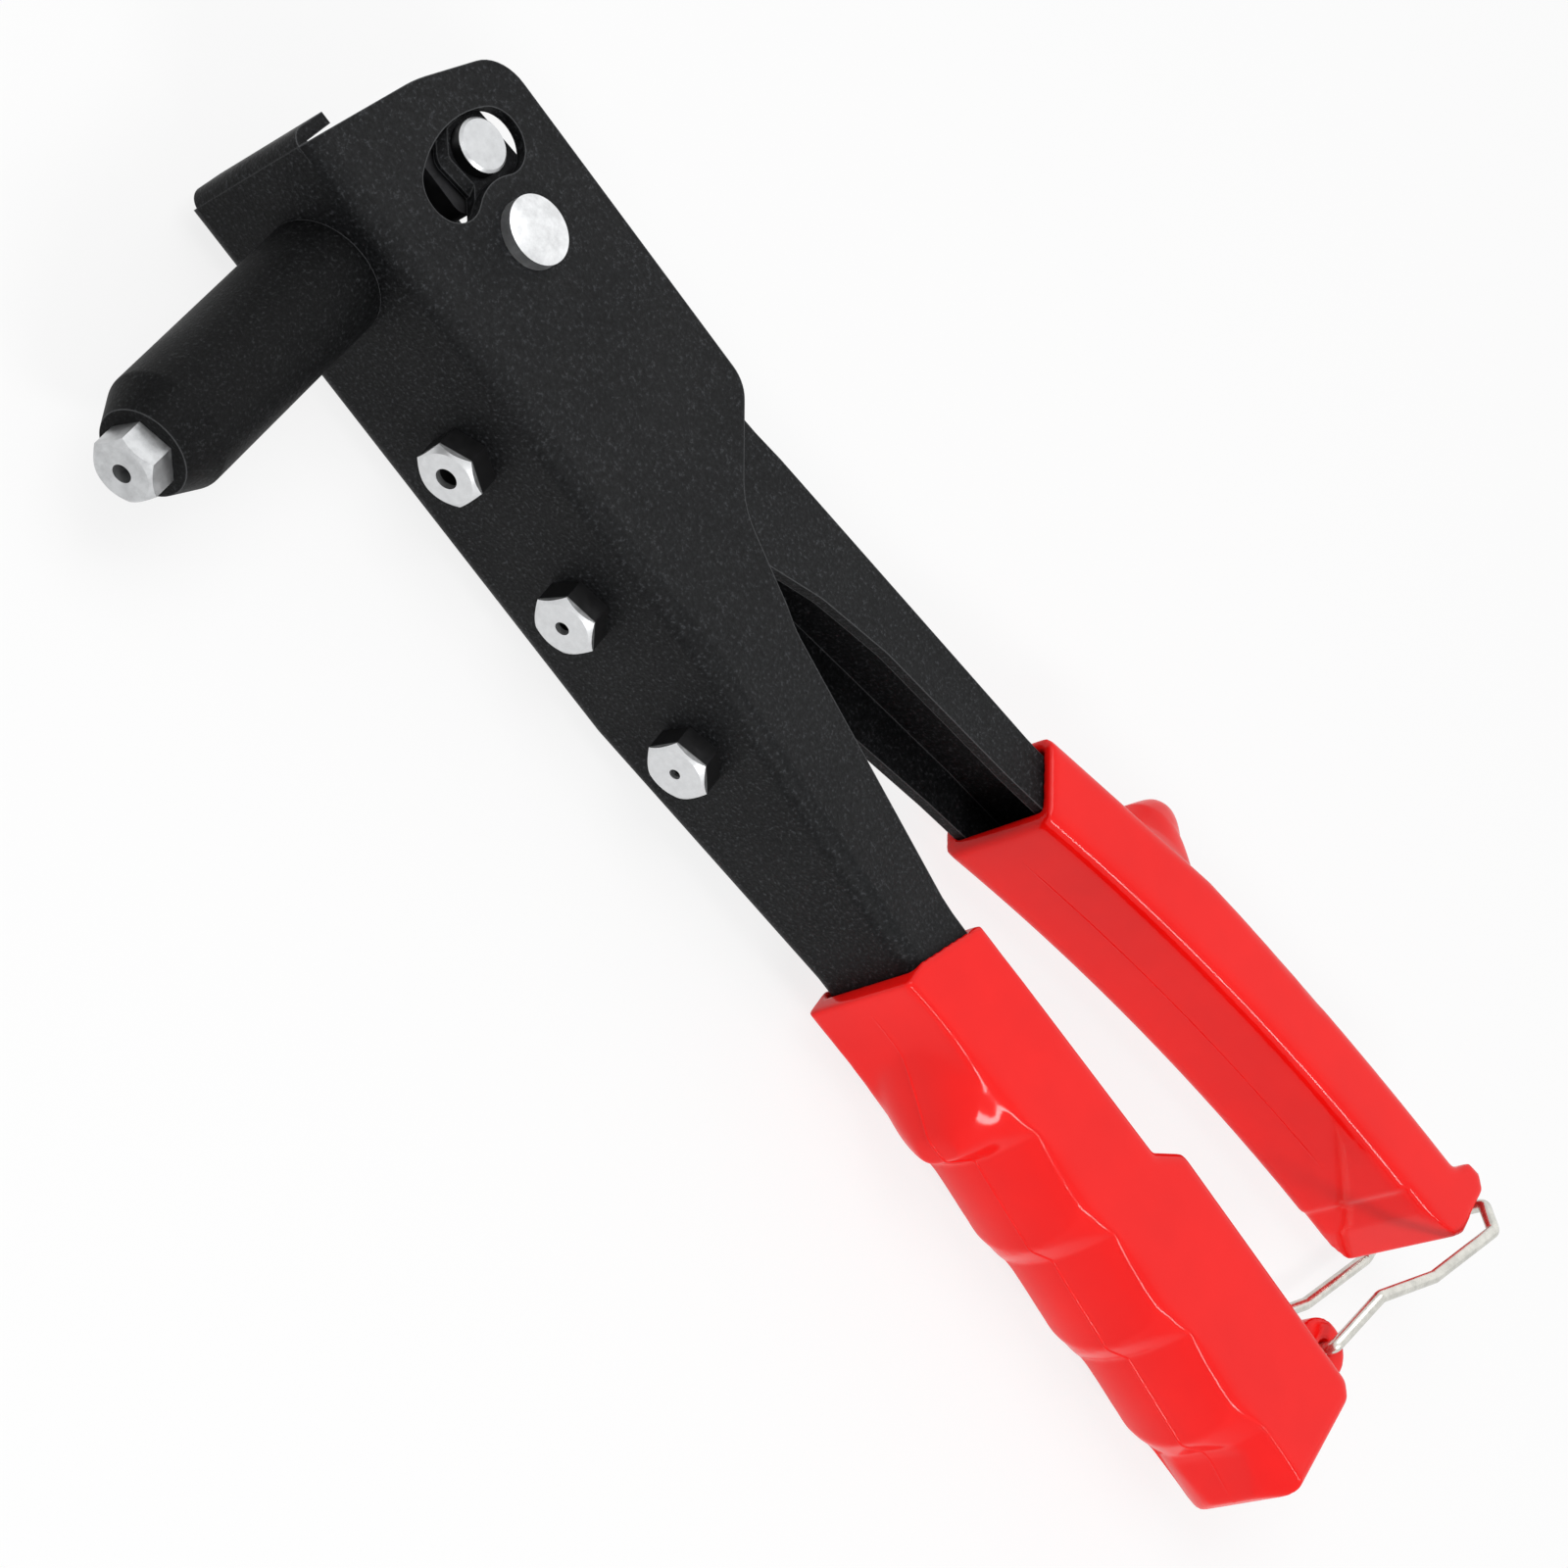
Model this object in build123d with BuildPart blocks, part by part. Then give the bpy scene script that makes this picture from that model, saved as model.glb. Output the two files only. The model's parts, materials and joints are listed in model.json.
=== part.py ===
from build123d import *
from math import cos, radians, sin, sqrt
import os

# Hand riveter, lying on its side.  Millimetres.
# +X points out of the nose along the mandrel axis, +Y towards the handle ends and +Z is the
# normal of the near side plate.  The origin is the centre of the mounted nosepiece's face,
# and the tool is symmetric about z = 0.

# ---- driving dimensions ----
steel = 2.0                  # sheet of both pressed handles
socket_gap = 0.15            # behind the handles in their grips
running_gap = 0.3            # between parts that slide past each other flat to flat
pin_gap = 0.05               # radial, pins in their holes
seat_gap = 0.05              # between pieces that are screwed or pushed together
small_chamfer = 0.6

# fixed frame
web_x = -50.5                # front face of the frame's web
head_half = 15.0             # half width over the side plates at the head
handle_half = 10.0           # half width of the frame inside its grip
head_top = -17.6             # top edge of the side plates at the web
head_break_x, head_break_y = -74.0, -13.8   # the top edge bends down here
head_corner = -8.0           # height of the rear corner before it is rounded
head_round = 7.5
foot_round = 6.0
waist_round = 14.0
break_round = 28.0
head_rear = -91.4            # rear edge of the side plates
head_foot = 52.5             # where the rear edge turns in towards the handle
taper_start = 80.0           # the plates are parallel down to here
taper_end = 131.0
waist_x, waist_y = -75.5, 65.0
neck_x, neck_y = -69.0, 84.0
handle_rear_mouth = -64.0    # rear edge of the frame at the grip mouth
handle_rear_end = -62.6
frame_end = 226.0
bend = 3.0                   # outside bend radius of the frame
tab_reach = 7.6              # top flange, measured back from the web's face
tab_half = 12.4
tab_height = 2.2             # top of the flange above the plates' top edge
tab_fall = 0.8               # the flange slopes down by this much to its rear edge
tab_root = 3.0               # it joins the web this far below the plates' top edge
tab_round = 2.4

# pivot and link
pivot_x, pivot_y = -73.8, 13.7
pivot_dia = 8.0
pivot_head_dia = 10.9
pivot_rim = 2.1              # straight side of the rivet's head
pivot_dome = 0.8
link_radius = 14.4           # from the pivot to the link pin
link_angle = -103.8          # direction of the link pin from the pivot at rest
link_dia = 6.0
link_head_dia = 8.6
link_chamfer = 0.4
link_stand = 0.2             # the link pin's faces stand this far out of the side plates
slot_half = 5.2
slot_back = 11.2             # slot's travel past the link pin, towards the rear
slot_front = 42.4            # and towards the nose
lever_open = 36.0            # how far the lever turns from rest, opening

# moving lever
lever_half = head_half - steel - running_gap
lever_end_half = 9.8
lever_taper_start = 66.0
lever_taper_end = 128.0
lever_end = 236.0
lever_eye = 6.2              # the arms' reach round the link pin
lever_web_top = 24.0         # the lever's back web starts here
lever_web_slope = 3.0        # its upper end slopes down inwards by this much
lever_top_x, lever_top_y = -83.9, -6.4
lever_knee_x, lever_knee_y = -90.3, 60.0
lever_rear_end = -118.6
lever_front_end = -109.4
lever_bow_x, lever_bow_y = -103.0, 182.0    # front edge, half way down the grip
lever_mouth_x, lever_mouth_y = -93.4, 137.0
lever_calf_x, lever_calf_y = -85.0, 99.0    # front edge between the grip and the pivot
lever_shin_x, lever_shin_y = -80.2, 85.0
lever_shoulder_x, lever_shoulder_y = -72.4, 70.0
lever_belly_x, lever_belly_y = -66.0, 44.0
lever_boss = 8.6             # the arms' reach ahead of the pivot
lever_boss_low, lever_boss_high = 2.0, 5.0
lever_throat = 6.4           # their reach ahead of the pivot above it
lever_eye_flat = 2.2         # half of the flats round the link pin
lever_eye_back, lever_eye_low = 5.2, 4.6
lever_round = 12.0
lever_boss_round = 4.0
lever_eye_round = 2.5
lever_edge = 1.2             # chamfer along the back web
yoke_gap = 0.5               # each side, between the yoke and the lever's arms
link_play = 0.35             # the link pin in the yoke's slot

# nose, sized round the jaw case
case_dia = 13.6
barrel_bore = case_dia + 0.8
barrel_dia = barrel_bore + 4.6
barrel_front_dia = barrel_dia - 5.0
barrel_cone = 5.5
barrel_cone_round = 1.5
barrel_front_wall = 7.0
spigot_dia = barrel_bore + 2.6
lock_nut_across = spigot_dia + 4.0
lock_nut_height = 4.0
lock_nut_slot = 1.6
hex_across = 9.5
hex_stand = 5.0
hex_chamfer = 0.9            # along the nose axis, at the hexagon's corners
hex_face = 8.7               # diameter of the flat face inside the chamfer
mounted_turn = 17.0          # how far the mounted hexagon is turned
thread_dia = 7.0
thread_length = 6.2
mounted_bore = 3.0
spare_bores = (3.5, 2.3, 1.8)
spare_turns = (34.0, 14.0, 20.0)
spare_first = 33.0
spare_pitch = 27.8

# jaw train inside the barrel
case_length = 26.0
case_face = -24.0
case_mouth = 6.0
cone_length = 12.2           # long enough for the jaws' whole travel
cone_slope = 0.22
jaw_length = 8.5
jaw_split = 0.4
jaw_hole = 2.2
tooth_count = 6
first_tooth = 1.5
tooth_pitch = 1.2
tooth_side = 0.5
pusher_dia = 8.6
pusher_flange = 2.2
pusher_stem = 4.4
pusher_stem_length = 4.4
pusher_chamfer = 0.5
pusher_hole = 3.2
spring_wire = 0.8
spring_length = 7.6
spring_turns = 4
spring_end_gap = 0.1
coil_gap = 0.35              # between the spring and the pusher's stem
rod_dia = case_dia - 5.0
rod_hole_depth = 16.0
rod_gap = 0.2                # from the rod's end to the case's inner shoulder
case_nut_across = case_dia - 2.6
case_nut_height = 3.2
yoke_height = case_dia - 0.6
yoke_round = 2.5
yoke_front = 7.5             # ahead of the link pin
yoke_back = 6.5

# fixed grip
fixed_mouth = 134.0
fixed_grip_end = 240.8
fixed_grip_half = 12.0
fixed_front = -43.3          # crests between the finger grooves, on the middle plane
fixed_front_mouth = -46.6
fixed_edge = -47.8           # where the crowned front meets the sides
fixed_rear = -66.4
fixed_mouth_slant = 4.5      # the mouth's rear corner lies this much lower
fixed_end_front = -43.9
mouth_square = 4.0           # the mouth is square to the handle this far behind the front's edges
mouth_hollow = 0.3           # the front is hollowed by this between the mouth and the first crest
end_hollow, end_hollow_y = 1.4, 6.0         # dip in the front below the last crest
fixed_step_y = 188.0
fixed_step = 2.4
fixed_rear_low = -71.5
fixed_rear_end = -70.0
groove_first = 162.0         # first crest
groove_pitch = 20.9
groove_depth = 2.3           # on the middle plane
groove_side_depth = 1.4      # at the sides
groove_radius = 24.0
groove_count = 3
grip_round = 2.0
end_corner = 2.4
grip_wall = 1.2              # thinnest wall, at the mouths
full_round = 0.49            # corner radius of a nearly round section, as a share of its width
stop_tip = -40.6             # the finger stop's tip
stop_y = 160.5
# depth below its tip, length along the tool and width of each section through the stop
stop_sections = ((9.0, 30.0, 23.0), (3.0, 12.0, 16.0), (0.0, 4.5, 8.0))
lug_x, lug_y = -74.2, 234.8
lug_radius = 5.3
lug_half = 7.0
lug_root = 6.0               # from its middle into the grip

# lever grip
lever_grip_half = 12.0
lever_grip_round = 2.5
grip_mouth_x, grip_mouth_y = -90.8, 138.0   # its front corner at the mouth
grip_heel_x, grip_heel_y = -103.2, 129.2    # its rear corner at the mouth
grip_bow_x, grip_bow_y = -101.0, 182.0
grip_waist_x, grip_waist_y = -113.6, 168.0
grip_back_x, grip_back_y = -118.2, 205.0
grip_foot = -106.6           # front face where the end begins to turn
lever_grip_end = 245.0
lip_x = -123.8
lip_root_x, lip_root_y = -120.4, 237.6
socket_back_y = 120.0        # the lever's socket runs out above the mouth
socket_front_x, socket_front_y = -80.0, 110.0
lip_bevel = 1.8              # bevel of the lip's end corner
lip_rise, lip_drop = 0.6, 2.8
lip_undercut, lip_fall = 0.6, 1.6
heel_front, heel_back = 2.4, 5.0     # bevel at the end's front corner
heel_rise = 1.4
knob_tip = -124.3            # the thumb knob's tip
knob_y = 160.5
knob_sections = ((14.0, 27.0, 21.0), (8.0, 16.0, 17.0), (3.0, 10.0, 13.0), (0.0, 6.0, 9.0))

# latch bail
bail_wire = 2.2
bail_half = 13.9
bail_swing = 17.0            # from latched to just clear of the lever's lip
bail_elbow_x, bail_elbow_y = -10.0, -3.3    # the wire's bends, from the lug
bail_shin_x, bail_shin_y = -24.4, 0.2
bail_knee_x, bail_knee_y = -43.6, 1.0
bail_bar_x, bail_bar_y = -48.0, -2.4
bail_foot = 4.8              # the wire's ends reach this far into the lug
bail_stand = 2.2             # and stand this far out of it before the first bend
bail_shoulder = 3.0
bail_bend = 1.5
bail_gap = 0.08              # radial, the wire in its lug

# cutting outlines reach past the part by these
past_head = -60.0
past_end = 300.0
past_depth = 120.0

# ---- values worked out from these ----
link_x = pivot_x + link_radius * cos(radians(link_angle))
link_y = pivot_y + link_radius * sin(radians(link_angle))
barrel_front = -hex_stand
head_inner = head_half - steel
handle_inner = handle_half - steel
case_bore = case_mouth + 2 * cone_slope * cone_length
yoke_half = lever_half - steel - yoke_gap
jaw_front = case_face - 1.0
pusher_front = jaw_front - jaw_length - running_gap
spring_front = pusher_front - pusher_flange
rod_front = spring_front - spring_length
case_back = case_face - case_length
# the link pin's height in the yoke, at its lowest and with the lever open
link_low = pivot_y - link_radius
link_high = pivot_y + link_radius * sin(radians(link_angle + lever_open))

os.makedirs("parts", exist_ok=True)


def write(piece, name):
    """Label a finished piece and write it as one STEP file."""
    piece.label = name
    export_step(piece, f"parts/{name}.step")


def plan(half_top, half_end, start, end):
    """A handle's outline seen from the nose: parallel, then tapering to the grip."""
    side = [(past_head, half_top), (start, half_top), (end, half_end), (past_end, half_end)]
    return side + [(y, -half) for y, half in reversed(side)]


def corners_between(sketch, low, high):
    """The sketch's corners as they stand now, in a band along the tool."""
    return sketch.vertices().filter_by_position(Axis.Y, low, high)


# ---- body_frame: one pressed channel, web to the nose and open behind ----
frame_side = [
    (web_x, head_top),
    (head_break_x, head_break_y),
    (head_rear, head_corner),
    (head_rear, head_foot),
    (waist_x, waist_y),
    (neck_x, neck_y),
    (handle_rear_mouth, fixed_mouth),
    (handle_rear_end, frame_end),
    (web_x, frame_end),
]
with BuildPart() as body_frame:
    with BuildSketch(Plane.XY.offset(-head_half)) as frame_profile:
        with BuildLine():
            Polyline(*frame_side, close=True)
        make_face()
        fillet(corners_between(frame_profile, head_break_y - 1, head_break_y + 1), break_round)
        fillet(corners_between(frame_profile, head_corner - 1, head_corner + 1), head_round)
        fillet(corners_between(frame_profile, head_foot - 1, head_foot + 1), foot_round)
        fillet(corners_between(frame_profile, waist_y - 1, neck_y + 1), waist_round)
    extrude(amount=2 * head_half)
    with BuildSketch(Plane.YZ.offset(web_x + 1)):
        with BuildLine():
            Polyline(*plan(head_half, handle_half, taper_start, taper_end), close=True)
        make_face()
    extrude(amount=-past_depth, mode=Mode.INTERSECT)
    web_edges = body_frame.faces().sort_by(Axis.X)[-1].edges()
    fillet(web_edges.filter_by(lambda e: abs(e.center().Z) > 1), bend)
    with BuildSketch(Plane.YZ.offset(web_x - steel)):
        with BuildLine():
            Polyline(*plan(head_inner, handle_inner, taper_start, taper_end), close=True)
        make_face()
    extrude(amount=-past_depth, mode=Mode.SUBTRACT)
    # the flange bent back off the web's top, with a relief notch at each end
    with BuildSketch(Plane.XY.offset(-tab_half)) as tab_profile:
        with BuildLine():
            Polyline(
                (web_x, head_top + tab_root),
                (web_x, head_top - tab_height),
                (web_x - tab_reach, head_top - tab_height + tab_fall),
                (web_x - tab_reach, head_top - tab_height + tab_fall + steel),
                (web_x - steel, head_top - tab_height + tab_fall / 2 + steel),
                (web_x - steel, head_top + tab_root),
                close=True,
            )
        make_face()
        fillet(tab_profile.vertices().sort_by(Axis.Y)[0], tab_round)
    extrude(amount=2 * tab_half)
    # pivot holes, the curved slots for the link pin, the barrel seat and the spare seats
    with Locations((pivot_x, pivot_y, 0)):
        Cylinder(pivot_dia / 2 + pin_gap, 2 * head_half + 2, mode=Mode.SUBTRACT)
    with BuildSketch(Plane.XY.offset(-head_half - 1)):
        with Locations((pivot_x, pivot_y)):
            SlotArc(
                CenterArc((0, 0), link_radius, link_angle - slot_back, slot_back + slot_front),
                height=2 * slot_half,
            )
    extrude(amount=2 * head_half + 2, mode=Mode.SUBTRACT)
    with Locations(Plane.YZ.offset(web_x)):
        Cylinder(spigot_dia / 2 + seat_gap, 4 * steel, mode=Mode.SUBTRACT)
        with Locations([(spare_first + i * spare_pitch, 0) for i in range(len(spare_bores))]):
            Cylinder(thread_dia / 2 + seat_gap, 4 * steel, mode=Mode.SUBTRACT)
write(body_frame.part, "body_frame")

# ---- lever_arm: channel nested in the head, web to the rear and open to the nose ----
lever_side = [
    (link_x + lever_eye, link_y - lever_eye_flat),
    (link_x + lever_eye_flat, link_y - lever_eye),
    (lever_top_x, lever_top_y),
    (lever_knee_x, lever_knee_y),
    (lever_rear_end, lever_end),
    (lever_front_end, lever_end),
    (lever_bow_x, lever_bow_y),
    (lever_mouth_x, lever_mouth_y),
    (lever_calf_x, lever_calf_y),
    (lever_shin_x, lever_shin_y),
    (lever_shoulder_x, lever_shoulder_y),
    (lever_belly_x, lever_belly_y),
    (pivot_x + lever_boss, pivot_y + lever_boss_low),
    (pivot_x + lever_throat, pivot_y - lever_boss_high),
    (link_x + lever_eye_back, link_y + lever_eye_low),
]


def lever_back(y):
    """Rear face of the lever's lower run at a height along the tool."""
    span = (y - lever_knee_y) / (lever_end - lever_knee_y)
    return lever_knee_x + span * (lever_rear_end - lever_knee_x)


top_run = (lever_web_top - lever_top_y) / (lever_knee_y - lever_top_y)
web_top_x = lever_top_x + top_run * (lever_knee_x - lever_top_x)
with BuildPart() as lever_hollow:
    with BuildSketch(Plane.XY.offset(-head_half)):
        with BuildLine():
            Polyline(
                (barrel_front, past_head),
                (-past_depth, past_head),
                (-past_depth, lever_web_top),
                (web_top_x + steel, lever_web_top + lever_web_slope),
                (lever_knee_x + steel, lever_knee_y),
                (lever_back(past_end) + steel, past_end),
                (barrel_front, past_end),
                close=True,
            )
        make_face()
    extrude(amount=2 * head_half)
    with BuildSketch(Plane.YZ.offset(-30)):
        with BuildLine():
            lever_inner, lever_end_inner = lever_half - steel, lever_end_half - steel
            Polyline(*plan(lever_inner, lever_end_inner, lever_taper_start, lever_taper_end), close=True)
        make_face()
    extrude(amount=-past_depth, mode=Mode.INTERSECT)

with BuildPart() as lever_arm:
    with BuildSketch(Plane.XY.offset(-head_half)) as lever_profile:
        with BuildLine():
            Polyline(*lever_side, close=True)
        make_face()
        fillet(corners_between(lever_profile, lever_top_y - 3, link_y), lever_eye_round)
        fillet(corners_between(lever_profile, lever_shoulder_y - 1, lever_calf_y + 1), lever_round)
        fillet(corners_between(lever_profile, lever_belly_y - 1, lever_belly_y + 1), lever_round)
        fillet(corners_between(lever_profile, pivot_y, pivot_y + 3), lever_boss_round)
    extrude(amount=2 * head_half)
    with BuildSketch(Plane.YZ.offset(-30)):
        with BuildLine():
            Polyline(*plan(lever_half, lever_end_half, lever_taper_start, lever_taper_end), close=True)
        make_face()
    extrude(amount=-past_depth, mode=Mode.INTERSECT)
    back = lever_arm.faces().filter_by(lambda f: f.normal_at().X < -0.9).sort_by(SortBy.AREA)[-1]
    chamfer(back.edges().filter_by(lambda e: abs(e.center().Z) > 1), lever_edge)
    add(lever_hollow.part, mode=Mode.SUBTRACT)
    with Locations((pivot_x, pivot_y, 0)):
        Cylinder(pivot_dia / 2 + pin_gap, 2 * head_half, mode=Mode.SUBTRACT)
    with Locations((link_x, link_y, 0)):
        Cylinder(link_dia / 2 + pin_gap, 2 * head_half, mode=Mode.SUBTRACT)
write(lever_arm.part, "lever_arm")

# ---- pivot_pin: a rivet with a shallow dome on each side ----
pin_rim = head_half + seat_gap
dome_radius = ((pivot_head_dia / 2) ** 2 + pivot_dome**2) / (2 * pivot_dome)
dome_mid = sqrt(dome_radius**2 - (pivot_head_dia / 4) ** 2) - dome_radius + pivot_dome
with BuildPart() as pivot_pin:
    with BuildSketch(Plane.XZ):
        with BuildLine():
            Polyline(
                (0, 0), (pivot_dia / 2, 0), (pivot_dia / 2, pin_rim),
                (pivot_head_dia / 2, pin_rim), (pivot_head_dia / 2, pin_rim + pivot_rim),
            )
            ThreePointArc(
                (pivot_head_dia / 2, pin_rim + pivot_rim),
                (pivot_head_dia / 4, pin_rim + pivot_rim + dome_mid),
                (0, pin_rim + pivot_rim + pivot_dome),
            )
            Line((0, pin_rim + pivot_rim + pivot_dome), (0, 0))
        make_face()
    revolve(axis=Axis.Z)
    mirror(about=Plane.XY)
pivot_pin.part.locate(Location((pivot_x, pivot_y, 0)))
write(pivot_pin.part, "pivot_pin")

# ---- link_pin: shaft through the lever's arms and the yoke, heads standing in the slots ----
with BuildPart() as link_pin:
    Cylinder(link_dia / 2, 2 * head_half)
    link_face = head_half + link_stand
    link_head_length = link_face - lever_half - seat_gap
    for side in (1, -1):
        with Locations((0, 0, side * (link_face - link_head_length / 2))):
            Cylinder(link_head_dia / 2, link_head_length)
    chamfer(link_pin.faces().filter_by(Axis.Z).group_by(Axis.Z)[0].edges(), link_chamfer)
    chamfer(link_pin.faces().filter_by(Axis.Z).group_by(Axis.Z)[-1].edges(), link_chamfer)
link_pin.part.locate(Location((link_x, link_y, 0)))
write(link_pin.part, "link_pin")

# ---- nose_barrel: turned housing, screwed through the web ----
spigot_back = web_x - steel - lock_nut_height
with BuildPart() as nose_barrel:
    with BuildSketch(Plane.XY) as barrel_profile:
        with BuildLine():
            Polyline(
                (barrel_front, thread_dia / 2 + seat_gap),
                (barrel_front, barrel_front_dia / 2),
                (barrel_front - barrel_cone, barrel_dia / 2),
                (web_x, barrel_dia / 2),
                (web_x, spigot_dia / 2),
                (spigot_back, spigot_dia / 2),
                (spigot_back, barrel_bore / 2),
                (barrel_front - barrel_front_wall, barrel_bore / 2),
                (barrel_front - barrel_front_wall, thread_dia / 2 + seat_gap),
                close=True,
            )
        make_face()
        cone_corner = barrel_profile.vertices().filter_by_position(
            Axis.X, barrel_front - barrel_cone - 0.1, barrel_front - barrel_cone + 0.1)
        fillet(cone_corner, barrel_cone_round)
    revolve(axis=Axis.X)
write(nose_barrel.part, "nose_barrel")

# ---- barrel_lock_nut: slotted ring nut behind the web ----
with BuildPart() as barrel_lock_nut:
    with BuildSketch(Plane.YZ.offset(web_x - steel)):
        Circle(lock_nut_across / 2)
        Circle(spigot_dia / 2 + seat_gap, mode=Mode.SUBTRACT)
        with PolarLocations(lock_nut_across / 2, 4, start_angle=45):
            Rectangle(lock_nut_slot, 2 * lock_nut_slot, mode=Mode.SUBTRACT)
    extrude(amount=-lock_nut_height)
write(barrel_lock_nut.part, "barrel_lock_nut")


def nosepiece(face_x, centre_y, bore, turn):
    """A hexagon with a chamfered face, a threaded shank and the mandrel hole."""
    with BuildPart() as piece:
        with BuildSketch(Plane.YZ):
            RegularPolygon(hex_across / 2, 6, major_radius=False, rotation=turn)
        extrude(amount=-hex_stand)
        with BuildSketch(Plane.XY):
            with BuildLine():
                corner = hex_across / sqrt(3)
                Polyline(
                    (0, 0), (0, hex_face / 2), (-hex_chamfer, corner),
                    (-hex_stand, corner), (-hex_stand, 0), close=True,
                )
            make_face()
        revolve(axis=Axis.X, mode=Mode.INTERSECT)
        with BuildSketch(Plane.YZ.offset(-hex_stand)):
            Circle(thread_dia / 2)
        extrude(amount=-thread_length)
        chamfer(piece.faces().sort_by(Axis.X)[0].edges(), small_chamfer)
        with BuildSketch(Plane.YZ):
            Circle(bore / 2)
        extrude(amount=-hex_stand - thread_length, mode=Mode.SUBTRACT)
    return piece.part.locate(Location((face_x, centre_y, 0)))


write(nosepiece(0, 0, mounted_bore, mounted_turn), "nosepiece_mounted")
for i, (bore, turn) in enumerate(zip(spare_bores, spare_turns)):
    spare = nosepiece(web_x + hex_stand, spare_first + i * spare_pitch, bore, turn)
    write(spare, f"nosepiece_spare_{i + 1}")

# ---- jaw_case: sleeve with the cone that closes the jaws ----
with BuildPart() as jaw_case:
    with BuildSketch(Plane.XY):
        with BuildLine():
            Polyline(
                (case_face, case_mouth / 2),
                (case_face, case_dia / 2 - small_chamfer),
                (case_face - small_chamfer, case_dia / 2),
                (case_back, case_dia / 2),
                (case_back, rod_dia / 2 + seat_gap),
                (rod_front + rod_gap, rod_dia / 2 + seat_gap),
                (rod_front + rod_gap, case_bore / 2),
                (case_face - cone_length, case_bore / 2),
                close=True,
            )
        make_face()
    revolve(axis=Axis.X)
write(jaw_case.part, "jaw_case")

# ---- two jaws: halves of a cone that grip the mandrel ----
jaw_tip = case_mouth / 2 + (case_face - jaw_front) * cone_slope - pin_gap
for name, turn in (("jaw_upper", 0), ("jaw_lower", 180)):
    with BuildPart() as jaw:
        with BuildSketch(Plane.XY):
            with BuildLine():
                Polyline(
                    (jaw_front, jaw_hole / 2),
                    (jaw_front, jaw_tip),
                    (jaw_front - jaw_length, jaw_tip + jaw_length * cone_slope),
                    (jaw_front - jaw_length, jaw_hole / 2),
                    close=True,
                )
            make_face()
        revolve(axis=Axis.X)
        # serrations across the bore
        with BuildSketch(Plane.XY):
            for k in range(tooth_count):
                with Locations((jaw_front - first_tooth - k * tooth_pitch, jaw_hole / 2)):
                    Rectangle(tooth_side, tooth_side, rotation=45)
        revolve(axis=Axis.X, mode=Mode.SUBTRACT)
        split(bisect_by=Plane.XZ.offset(-jaw_split / 2), keep=Keep.BOTTOM)
    write(jaw.part.rotate(Axis.X, turn), name)

# ---- jaw_pusher: sprung tube behind the jaws ----
with BuildPart() as jaw_pusher:
    with BuildSketch(Plane.XY):
        with BuildLine():
            Polyline(
                (pusher_front, pusher_hole / 2),
                (pusher_front, pusher_dia / 2 - pusher_chamfer),
                (pusher_front - pusher_chamfer, pusher_dia / 2),
                (spring_front, pusher_dia / 2),
                (spring_front, pusher_stem / 2),
                (spring_front - pusher_stem_length, pusher_stem / 2),
                (spring_front - pusher_stem_length, pusher_hole / 2),
                close=True,
            )
        make_face()
    revolve(axis=Axis.X)
write(jaw_pusher.part, "jaw_pusher")

# ---- jaw_spring ----
coil_radius = (pusher_stem + spring_wire) / 2 + coil_gap
coil_height = spring_length - spring_wire - 2 * spring_end_gap
with BuildPart() as jaw_spring:
    with BuildLine() as coil:
        Helix(pitch=coil_height / spring_turns, height=coil_height, radius=coil_radius)
    with BuildSketch(Plane(origin=coil.line @ 0, z_dir=coil.line % 0)):
        RegularPolygon(spring_wire / 2, 8)
    sweep()
spring_start = spring_front - spring_wire / 2 - spring_end_gap
spring_place = Plane(origin=(spring_start, 0, 0), z_dir=(-1, 0, 0))
write(jaw_spring.part.locate(spring_place.location), "jaw_spring")

# ---- pull_yoke: block round the link pin with the rod that screws into the case ----
with BuildPart() as pull_yoke:
    with Locations((link_x + (yoke_front - yoke_back) / 2, 0, 0)):
        Box(yoke_front + yoke_back, yoke_height, 2 * yoke_half)
    fillet(pull_yoke.edges().filter_by(Axis.Z), yoke_round)
    with BuildSketch(Plane.YZ.offset(link_x)):
        Circle(rod_dia / 2)
    extrude(amount=rod_front - link_x)
    with BuildSketch(Plane.YZ.offset(rod_front)):
        Circle(pusher_hole / 2)
    extrude(amount=-rod_hole_depth, mode=Mode.SUBTRACT)
    with BuildSketch(Plane.XY.offset(-yoke_half - 1)):
        with Locations((link_x, (link_low + link_high) / 2)):
            SlotCenterToCenter(link_high - link_low + 2 * link_play, link_dia + 2 * link_play, rotation=90)
    extrude(amount=2 * yoke_half + 2, mode=Mode.SUBTRACT)
write(pull_yoke.part, "pull_yoke")

# ---- case_lock_nut: thin hexagon behind the case ----
with BuildPart() as case_lock_nut:
    with BuildSketch(Plane.YZ.offset(case_back)):
        RegularPolygon(case_nut_across / 2, 6, major_radius=False)
        Circle(rod_dia / 2 + seat_gap, mode=Mode.SUBTRACT)
    extrude(amount=-case_nut_height)
write(case_lock_nut.part, "case_lock_nut")

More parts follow.
